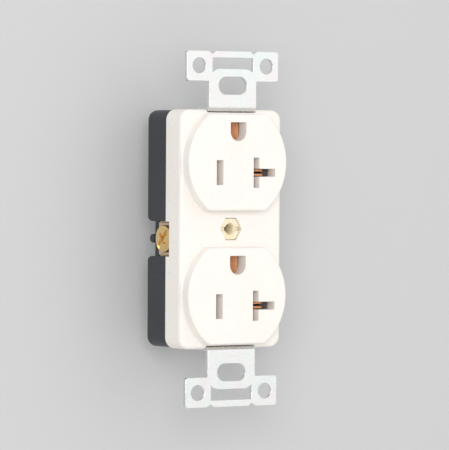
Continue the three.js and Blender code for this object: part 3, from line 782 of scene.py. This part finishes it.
def rear_body():
    outline = rounded_rectangle(BODY_HALF_X, BODY_HALF_Z, BODY_CORNER)
    body = slab(outline, BODY_FRONT, BODY_BACK, SEAM_EDGE, BODY_EDGE)
    cut(body, *body_rooms())
    cutters = [notch(terminal) for terminal in TERMINALS.values()]
    front = BODY_FRONT - CUT_PAST
    cutters.append(rod(BODY_HOLES["boss"], front, CHAMBER_FLOOR, (0, 0)))
    cutters.append(rod(BODY_HOLES["rear_screw"], 15, BEHIND_BODY, (0, 0), sides=24))
    web = rectangle(-CHANNEL_HALF, CHANNEL_HALF, -WEB_RECESS_END, WEB_RECESS_END)
    cutters.append(pocket(web, BODY_BACK, WEB_RECESS, 0.2))
    cutters += leg_channels(BODY_FRONT, BODY_BACK, 0.15)
    for spot in ASSEMBLY_PLACES.values():
        cutters.append(rod(BODY_HOLES["assembly_screw"], front, BEHIND_BODY, spot, sides=24))
        recess = circle(ASSEMBLY["head"] + 0.4, spot, 36)
        cutters.append(pocket(recess, BODY_BACK, ASSEMBLY["seat"] - 0.3, 0.2))
    cut(body, *cutters)
    join(body, *[side_peg(side) for side in (-1, 1)])
    outlet_piece(body, "rear_body", "grey_body")


# ---------- mounting strap

WEB_STRAIGHT = LEG_PLANE - BEND_RADIUS
BEND_LENGTH = BEND_RADIUS * math.pi / 2
LEG_STRAIGHT = WEB_PLANE - TAB_PLANE - 2 * BEND_RADIUS
TAB_START = WEB_STRAIGHT + 2 * BEND_LENGTH + LEG_STRAIGHT
FLAT_SHIFT = TAB_START - (LEG_PLANE + BEND_RADIUS)


def blank_outline():
    """The strap's outline before it is bent, in X and in length along the strip."""
    side = [(STRAP_HALF_WIDTH, 0), (STRAP_HALF_WIDTH, EAR_FROM)]
    side += arc((EAR_SIDE - EAR_CORNER, EAR_FROM + EAR_CORNER), EAR_CORNER, -90, 0, 5)
    side += arc((EAR_SIDE - EAR_CORNER, STRAP_END - EAR_CORNER), EAR_CORNER, 0, 90, 5)
    x, floor = SNAP_NOTCH["x"], STRAP_END - SNAP_NOTCH["depth"]
    side.append((x + SNAP_NOTCH["half"], STRAP_END))
    side.append((x + SNAP_NOTCH["floor_half"], floor))
    side.append((x - SNAP_NOTCH["floor_half"], floor))
    side.append((x - SNAP_NOTCH["half"], STRAP_END))
    right = [(x, z + (FLAT_SHIFT if z else 0)) for x, z in side][1:]
    upper = right + [(-x, z) for x, z in reversed(right)]
    return upper + [(-x, -z) for x, z in upper]


def end_openings(end):
    """The window, slot, ear holes and score grooves of one end of the blank.

    The grooves are cut into the wall side of the ears. The CAD model has them on the room side.
    """
    wall_side, room_side = -STRAP_THICKNESS / 2, STRAP_THICKNESS / 2
    inner = STRAP_HALF_WIDTH - TAB_CORNER
    centre = TAB_END - TAB_CORNER
    meet = math.degrees(math.acos((WINDOW_HALF - inner) / TAB_CORNER))
    window = arc((inner, centre), TAB_CORNER, meet, 90, 6)
    window += arc((-inner, centre), TAB_CORNER, 90, 180 - meet, 6)
    window += arc((-WINDOW_HALF + 0.3, WINDOW_END - 0.3), 0.3, 180, 90, 3)
    window += arc((WINDOW_HALF - 0.3, WINDOW_END - 0.3), 0.3, 90, 0, 3)
    slot = stadium(MOUNT_SLOT["length"] / 2, MOUNT_SLOT["width"] / 2, (0, MOUNT_SLOT["z"]))
    outlines = [window, slot]
    for side in (-1, 1):
        outlines.append(circle(EAR_HOLE["radius"], (side * EAR_HOLE["x"], EAR_HOLE["z"]), 32))

    def moved(outline):
        return [(x, end * (z + FLAT_SHIFT)) for x, z in outline]

    cutters = [opening(moved(outline), wall_side, room_side, STRAP_EDGE, STRAP_EDGE) for outline in outlines]
    for side in (-1, 1):
        near = arc((inner, centre), TAB_CORNER + 0.02, -3, meet + 4, 8)
        far = arc((inner, centre), TAB_CORNER + SCORE["width"], -3, meet + 4, 8)
        groove = [(side * x, z) for x, z in near + far[::-1]]
        cutters.append(pocket(moved(groove), wall_side, wall_side + SCORE["depth"], 0, SCORE["draft"]))
    return cutters


def bend_strap(strap):
    """Folds the flat blank round the back of the outlet."""
    build = bmesh.new()
    build.from_mesh(strap.data)
    steps = 7
    for end in (1, -1):
        for start in (WEB_STRAIGHT, TAB_START - BEND_LENGTH):
            for i in range(steps + 1):
                at = end * (start + BEND_LENGTH * i / steps)
                everything = build.verts[:] + build.edges[:] + build.faces[:]
                bmesh.ops.bisect_plane(
                    build, geom=everything, plane_co=(0, 0, at * MM), plane_no=(0, 0, 1), dist=1e-8)
    for vert in build.verts:
        x, t, s = vert.co / MM
        y, z = folded(abs(s), t)
        vert.co = Vector((x, y, math.copysign(z, s))) * MM
    bmesh.ops.recalc_face_normals(build, faces=build.faces)
    build.to_mesh(strap.data)
    build.free()


def folded(s, t):
    """Where a point of the blank goes: s along the strip from its middle, t from its middle plane.

    Negative t ends up on the outer side of the web and legs, and on the wall side of the ears.
    """
    if s <= WEB_STRAIGHT:
        return WEB_PLANE - t, s
    if s <= WEB_STRAIGHT + BEND_LENGTH:
        angle = (s - WEB_STRAIGHT) / BEND_RADIUS
        radius = BEND_RADIUS - t
        return WEB_PLANE - BEND_RADIUS + radius * math.cos(angle), WEB_STRAIGHT + radius * math.sin(angle)
    run = s - WEB_STRAIGHT - BEND_LENGTH
    if run <= LEG_STRAIGHT:
        return WEB_PLANE - BEND_RADIUS - run, LEG_PLANE - t
    run -= LEG_STRAIGHT
    if run <= BEND_LENGTH:
        angle = run / BEND_RADIUS
        radius = BEND_RADIUS + t
        y = TAB_PLANE + BEND_RADIUS - radius * math.sin(angle)
        return y, LEG_PLANE + BEND_RADIUS - radius * math.cos(angle)
    return TAB_PLANE - t, LEG_PLANE + BEND_RADIUS + run - BEND_LENGTH


def mounting_strap():
    half = STRAP_THICKNESS / 2
    strap = slab(blank_outline(), -half, half, STRAP_EDGE, STRAP_EDGE)
    holes = []
    for end in (1, -1):
        holes += end_openings(end)
    rivet_places = [(z + GROUND_OFFSET, GROUND_RIVET_HOLE) for z in BLADE_LINES.values()]
    for z, radius in [(0, WEB_HOLE)] + rivet_places:
        holes.append(opening(circle(radius, (0, z), 28), -half, half, 0.1, 0.1))
    cut(strap, *holes)
    bend_strap(strap)
    arm_z = TERMINALS["ground"]["z"]
    arm = bent_sheet(
        [(STRAP_HALF_WIDTH - 1, WEB_PLANE), (ARM_X, WEB_PLANE), (ARM_X, ARM_TIP)],
        STRAP_THICKNESS, BEND_RADIUS, arm_z - ARM_HALF, arm_z + ARM_HALF, "Z", STRAP_EDGE)
    join(strap, arm)
    cut(strap, rod(TAP_HOLE, ARM_X - 2, ARM_X + 2, (AXIS_Y, arm_z), "X", 36))
    outlet_piece(strap, "mounting_strap", "zinc_steel")


# ---------- centre post and back fasteners


def tapped_hole(radius, ridge, near, far, pitch, lip=0.3):
    """A cutter for a threaded hole on the middle axis that starts at near, with a countersunk mouth."""
    way = 1 if far > near else -1
    outside = near - way * 0.5
    hole = thread(radius, ridge, outside, far, pitch, (0, 0))
    profile = [(radius + lip, outside), (radius + lip, near), (radius - ridge, near + way * (lip + ridge))]
    return join(hole, turned(profile, (0, 0), sides=36))


def center_post():
    flats, front, back = POST["flats"], POST["front"], POST["back"]
    post = slab(hexagon(flats), front, back)
    corner = flats / math.sqrt(3)
    chamfer = [(corner - 0.35, front - 0.001), (corner + 0.25, front + 0.35), (corner + 0.25, back + 1)]
    keep_common(post, turned(chamfer, (0, 0)))
    groove = rectangle(-flats, flats, -DRIVER_SLOT["half"], DRIVER_SLOT["half"])
    slot = pocket(groove, front, front + DRIVER_SLOT["depth"], DRIVER_SLOT["lip"])
    end, lip = front + POST_TAP["depth"], POST_TAP["lip"]
    tap = tapped_hole(POST_TAP["radius"], POST_TAP["ridge"], front, end, POST_TAP["pitch"], lip)
    cut(post, slot, tap)
    cut(post, tapped_hole(REAR_TAP["radius"], REAR_TAP["ridge"], back, REAR_TAP["end"], REAR_TAP["pitch"]))
    outlet_piece(post, "center_post", "pale_brass")


def cross_recess(centre, crown, floor, reach, half, axis, turn):
    """Two tapered bars that cut a cross recess into a head."""
    a, b = centre
    bar = rectangle(a - reach, a + reach, b - half, b + half)
    outlines = [turned_by(bar, turn + extra, centre) for extra in (0, 90)]
    return [pocket(outline, crown, floor, 0.0, half * 0.35, axis) for outline in outlines]


def center_rear_screw():
    head = domed(REAR_SCREW["head"], REAR_SCREW["seat"], REAR_SCREW["back"], 0.7, (0, 0))
    ridge, pitch = REAR_THREAD["ridge"], REAR_THREAD["pitch"]
    shank = thread(REAR_SCREW["shank"], ridge, REAR_SCREW["seat"] + 0.4, REAR_SCREW["tip"], pitch, (0, 0))
    screw = join(head, shank)
    cut(screw, *cross_recess((0, 0), REAR_SCREW["back"], *REAR_CROSS.values(), "Y", 20))
    outlet_piece(screw, "center_rear_screw", "dark_steel")


def assembly_screw(corner, centre, turn):
    head = domed(ASSEMBLY["head"], ASSEMBLY["seat"], ASSEMBLY["back"], 0.45, centre, crown_rise=0.15)
    ridge, pitch = ASSEMBLY_THREAD["ridge"], ASSEMBLY_THREAD["pitch"]
    shank = thread(ASSEMBLY["shank"], ridge, ASSEMBLY["seat"] + 0.4, ASSEMBLY["tip"], pitch, centre)
    screw = join(head, shank)
    cut(screw, *cross_recess(centre, ASSEMBLY["back"], *ASSEMBLY_CROSS.values(), "Y", turn))
    outlet_piece(screw, "assembly_screw_" + corner, "dark_steel")


# ---------- live and neutral sides


def terminal_bus(name, side, material_slot):
    """A bar along one side with the tapped terminal plate and a foot under each contact."""
    z = TERMINALS["hot"]["z"]
    edges = (BUS_EDGE, BUS_EDGE)
    inner, outer = sorted((side * TAP_INNER, side * TAP_OUTER))
    half_y, half_z = TAP_PLATE["half_y"], TAP_PLATE["half_z"]
    plate = rounded_rectangle(half_y, half_z, TAP_PLATE["corner"], (TAP_PLATE["y"], z), 4)
    bus = slab(plate, inner, outer, *edges, "X")
    strip = rectangle(BUS_STRIP["front"], BUS_BACK, BUS_STRIP["bottom"], BUS_STRIP["top"])
    others = [slab(strip, inner, outer, *edges, "X")]
    low, high = sorted((side * BUS_FOOT["inner"], side * TAP_OUTER))
    holes = []
    for blade_z in BLADE_LINES.values():
        foot = rectangle(low, high, blade_z - BUS_FOOT["half"], blade_z + BUS_FOOT["half"])
        others.append(slab(rounded(foot, 0.3, 3), BUS_FOOT["front"], BUS_BACK, *edges))
        holes.append(rod(BLADE_RIVET_HOLE, 13.5, 16, (side * BLADE_X, blade_z), sides=24))
    join(bus, *others)
    holes.append(rod(TAP_HOLE, side * 11.5, side * 15, (AXIS_Y, z), "X", 36))
    cut(bus, *holes)
    outlet_piece(bus, name, material_slot)


def blade_clip(centre_x, z, size):
    """Two leaves that close on a blade and flare open towards the slot."""
    line = [(centre_x - size["mouth"], LEAF_TIP), (centre_x - size["pinch"], LEAF_PINCH)]
    line += [(centre_x - size["root"], y) for y in (LEAF_ROOT, CONTACT_BASE)]
    line += [(2 * centre_x - x, y) for x, y in reversed(line)]
    half = size["width"] / 2
    return bent_sheet(line, LEAF, LEAF_BEND, z - half, z + half, "Z", LEAF_EDGE, 0.6)


def rivet_hole(radius, x, z):
    return rod(radius, CONTACT_BASE - 1.5, CONTACT_BASE + 1.5, (x, z), sides=24)


def hot_contact(level):
    z = BLADE_LINES[level]
    clip = blade_clip(-BLADE_X, z, BLADE_CLIP)
    cut(clip, rivet_hole(BLADE_RIVET_HOLE, -BLADE_X, z))
    outlet_piece(clip, "hot_contact_" + level, "copper_alloy")


def neutral_contact(level):
    """The outer leaf is parted, so that a sideways blade runs between two more leaves."""
    z = BLADE_LINES[level]
    clip = blade_clip(BLADE_X, z, BLADE_CLIP)
    near, far, half = BLADE_X + PARTING["inner"], BLADE_X + PARTING["outer"], PARTING["half"]
    cut(clip, block(near, far, -CUT_PAST, PARTING["end"], z - half, z + half))
    inner, outer, root = SIDE_CLIP["inner"], SIDE_CLIP["outer"], SIDE_CLIP["root"]
    line = [(LEAF_TIP, z - SIDE_CLIP["mouth"]), (LEAF_PINCH, z - SIDE_CLIP["pinch"])]
    line += [(y, z - root) for y in (LEAF_ROOT, CONTACT_BASE)]
    line += [(y, 2 * z - height) for y, height in reversed(line)]
    across = bent_sheet(line, LEAF, LEAF_BEND, inner, outer, "X", LEAF_EDGE, 0.5)
    foot = rectangle(BLADE_X, outer, z - root, z + root)
    bridge = slab(foot, CONTACT_BASE - LEAF / 2, CONTACT_BASE + LEAF / 2, 0.08, 0.08)
    join(clip, across, bridge)
    cut(clip, rivet_hole(BLADE_RIVET_HOLE, BLADE_X, z))
    outlet_piece(clip, "neutral_contact_" + level, "copper_alloy")


def ground_contact(level):
    z = BLADE_LINES[level] + GROUND_OFFSET
    clip = blade_clip(0, z, GROUND_CLIP)
    cut(clip, rivet_hole(GROUND_RIVET_HOLE, 0, z))
    outlet_piece(clip, "ground_contact_" + level, "copper_alloy")


def rivet(name, size, centre, material_slot):
    """A shank with a domed head at each end."""
    front, back = size["ends"]
    front_seat, back_seat = size["seats"]
    piece = rod(size["shank"], front + 0.4, back - 0.4, centre, sides=32)
    upset = domed(size["head"], front_seat, front, 0.35, centre, crown_rise=0.15)
    closing = domed(size["head"], back_seat, back, 0.3, centre, crown_rise=0.1)
    join(piece, upset, closing)
    outlet_piece(piece, name, material_slot)


# ---------- clamp plates and terminal screws


def clamp_plate(name, terminal):
    """The plate under a screw head, with grooves in its inner face that grip the wire."""
    side, z = terminal["side"], terminal["z"]
    half = terminal["half"] - CLAMP["margin"]
    middle = (CLAMP["front"] + CLAMP["back"]) / 2
    inner, outer = sorted((side * CLAMP["inner"], side * CLAMP["outer"]))
    outline = rounded_rectangle((CLAMP["back"] - CLAMP["front"]) / 2, half, 0.5, (middle, z), 4)
    plate = slab(outline, inner, outer, 0.15, 0.15, "X")
    cutters = [rod(TAP_HOLE, side * 13, side * 17, (AXIS_Y, z), "X", 36)]
    face = side * CLAMP["inner"]
    mouth, depth, half_row = CLAMP_GRIP["mouth"], CLAMP_GRIP["depth"], CLAMP_GRIP["half"]
    for end in (-1, 1):
        for row in range(CLAMP_GRIP["rows"]):
            centre = z + end * (half - CLAMP_GRIP["first"] - CLAMP_GRIP["spacing"] * row)
            groove = [(-mouth * side, -half_row), (depth * side, 0), (-mouth * side, half_row)]
            outline = [(face + x, centre + dz) for x, dz in groove]
            loops = [[Vector((x, y, height)) * MM for x, height in outline]
                     for y in (CLAMP["front"] - 0.5, CLAMP["back"] + 0.5)]
            cutters.append(skin(loops))
    cut(plate, *cutters)
    outlet_piece(plate, name + "_clamp_plate", "plated_clamp", name + "_clamp")


def terminal_screw(name, terminal, material_slot, turn):
    """A captive screw with a combination recess: a slot with a cross over it."""
    side, z = terminal["side"], terminal["z"]
    centre = (AXIS_Y, z)
    radius = min(HEAD_RADIUS, terminal["half"] - 0.6)
    crown = side * HEAD_OUTER
    head = domed(radius, side * HEAD_INNER, crown, HEAD_EDGE, centre, "X", crown_rise=0.12)
    root, tip = side * (HEAD_INNER + 0.4), side * SCREW_TIP
    shank = thread(SCREW_SHANK, SCREW_RIDGE, root, tip, SCREW_PITCH, centre, "X", 28)
    screw = join(head, shank)
    floor = side * (HEAD_OUTER - HEAD_CROSS["depth"])
    cutters = cross_recess(centre, crown, floor, HEAD_CROSS["reach"], HEAD_CROSS["half"], "X", turn)
    length, half = radius - HEAD_EDGE, HEAD_SLOT["half"]
    groove = turned_by(rectangle(AXIS_Y - length, AXIS_Y + length, z - half, z + half), turn, centre)
    slot_floor = side * (HEAD_OUTER - HEAD_SLOT["depth"])
    cutters.append(pocket(groove, crown, slot_floor, HEAD_SLOT["lip"], HEAD_SLOT["draft"], "X"))
    cut(screw, *cutters)
    outlet_piece(screw, name + "_terminal_screw", material_slot, name + "_screw")


# ---------- the outlet

front_cover()
rear_body()
mounting_strap()
center_post()
center_rear_screw()
for count, (corner, centre) in enumerate(ASSEMBLY_PLACES.items()):
    assembly_screw(corner, centre, 12 + 23 * count)
terminal_bus("hot_terminal_bus", -1, "brass")
terminal_bus("neutral_terminal_bus", 1, "nickel")
for level, blade_z in BLADE_LINES.items():
    hot_contact(level)
    neutral_contact(level)
    ground_contact(level)
    rivet("hot_rivet_" + level, BLADE_RIVET, (-BLADE_X, blade_z), "brass")
    rivet("neutral_rivet_" + level, BLADE_RIVET, (BLADE_X, blade_z), "brass")
    rivet("ground_rivet_" + level, GROUND_RIVET, (0, blade_z + GROUND_OFFSET), "zinc_steel")
for name, terminal in TERMINALS.items():
    clamp_plate(name, terminal)
terminal_screw("hot", TERMINALS["hot"], "brass", -45)
terminal_screw("neutral", TERMINALS["neutral"], "nickel", 20)
terminal_screw("ground", TERMINALS["ground"], "green_screw", 70)

# ---------- studio

# lamps: azimuth and elevation in degrees, distance, width and height in metres, power in watts
LAMPS = {
    "key": (36, 6, 1.1, 1.1, 1.1, 2.15),
    "fill": (-33, 10, 1.2, 0.6, 0.6, 5.9),
    "top": (10, 75, 1.2, 0.8, 0.8, 1.5),
    "rear": (165, 25, 1.3, 1.6, 1.3, 3.2),
}
WORLD_STRENGTH = 0.66
BACKDROP_Y = 0.028
BACKDROP_HALF = 0.5
FLOOR_Z = -0.25
FLOOR_HALF = 3.0

# camera: angles in degrees, distance in metres, lens and sensor in millimetres, shifts in picture widths
CAMERA = {"azimuth": -33.48, "elevation": 1.23, "roll": 0.313, "distance": 1.1027}
LENS = {"lens": 303.12, "sensor_width": 36, "shift_x": -0.0121, "shift_y": 0.0089}


def sheet_of_studio(name, corners, material):
    build = bmesh.new()
    build.faces.new([build.verts.new(corner) for corner in corners])
    sheet = mesh_object(name, build)
    sheet.data.materials.append(material)
    return sheet


def direction(azimuth, elevation):
    """From the outlet, at angles in degrees: azimuth 0 is straight in front, and positive is to the right."""
    a, e = math.radians(azimuth), math.radians(elevation)
    return Vector((math.sin(a) * math.cos(e), -math.cos(a) * math.cos(e), math.sin(e)))


def softbox(name, azimuth, elevation, distance, width, height, power):
    """An area light that faces the outlet."""
    away = direction(azimuth, elevation)
    data = bpy.data.lights.new(name, "AREA")
    data.shape = "RECTANGLE"
    data.size = width
    data.size_y = height
    data.energy = power
    lamp = bpy.data.objects.new(name, data)
    bpy.context.scene.collection.objects.link(lamp)
    lamp.location = away * distance
    lamp.rotation_euler = away.to_track_quat("Z", "Y").to_euler()
    return lamp


def backdrop_material():
    """Grey paper that is see-through from behind, so that it never hides the outlet's back."""
    paint = Paint("backdrop", (0.602, 0.602, 0.607), 1.0)
    paint.shader.inputs["Specular IOR Level"].default_value = 0.0
    clear = paint.nodes.new("ShaderNodeBsdfTransparent")
    choice = paint.nodes.new("ShaderNodeMixShader")
    facing = paint.nodes.new("ShaderNodeNewGeometry").outputs["Backfacing"]
    paint.links.new(facing, choice.inputs["Fac"])
    paint.links.new(paint.shader.outputs["BSDF"], choice.inputs[1])
    paint.links.new(clear.outputs["BSDF"], choice.inputs[2])
    paint.links.new(choice.outputs["Shader"], paint.nodes["Material Output"].inputs["Surface"])
    return paint.material


def studio():
    """A pale world, four soft lights, a grey backdrop behind the outlet and a pale floor."""
    scene = bpy.context.scene
    scene.view_settings.view_transform = "Standard"
    world = bpy.data.worlds.new("studio")
    scene.world = world
    world.use_nodes = True
    background = world.node_tree.nodes["Background"]
    background.inputs["Color"].default_value = (1.0, 1.0, 1.0, 1)
    background.inputs["Strength"].default_value = WORLD_STRENGTH
    level = [(x, y, FLOOR_Z) for x, y in rectangle(-FLOOR_HALF, FLOOR_HALF, -FLOOR_HALF, FLOOR_HALF)]
    sheet_of_studio("floor", level, Paint("paper", (0.76, 0.76, 0.755), 0.9).material)
    outline = rectangle(-BACKDROP_HALF, BACKDROP_HALF, FLOOR_Z, BACKDROP_HALF)
    upright = [(x, BACKDROP_Y, z) for x, z in outline]
    wall = sheet_of_studio("backdrop", upright, backdrop_material())
    for kind in ("diffuse", "glossy", "transmission", "shadow"):
        setattr(wall, "visible_" + kind, False)
    lamps = {name: softbox(name, *values) for name, values in LAMPS.items()}
    lamps["rear"].visible_glossy = False


def camera():
    """The camera stands to the left of the outlet, a little above its middle."""
    roll = math.radians(CAMERA["roll"])
    back = direction(CAMERA["azimuth"], CAMERA["elevation"])
    right = direction(CAMERA["azimuth"] + 90, 0)
    up = back.cross(right)
    across = right * math.cos(roll) + up * math.sin(roll)
    upward = up * math.cos(roll) - right * math.sin(roll)
    data = bpy.data.cameras.new("camera")
    data.sensor_fit = "HORIZONTAL"
    data.sensor_width = LENS["sensor_width"]
    data.lens = LENS["lens"]
    data.shift_x = LENS["shift_x"]
    data.shift_y = LENS["shift_y"]
    view = bpy.data.objects.new("camera", data)
    bpy.context.scene.collection.objects.link(view)
    view.matrix_world = Matrix((across, upward, back)).transposed().to_4x4()
    view.location = back * CAMERA["distance"]
    bpy.context.scene.camera = view


studio()
camera()
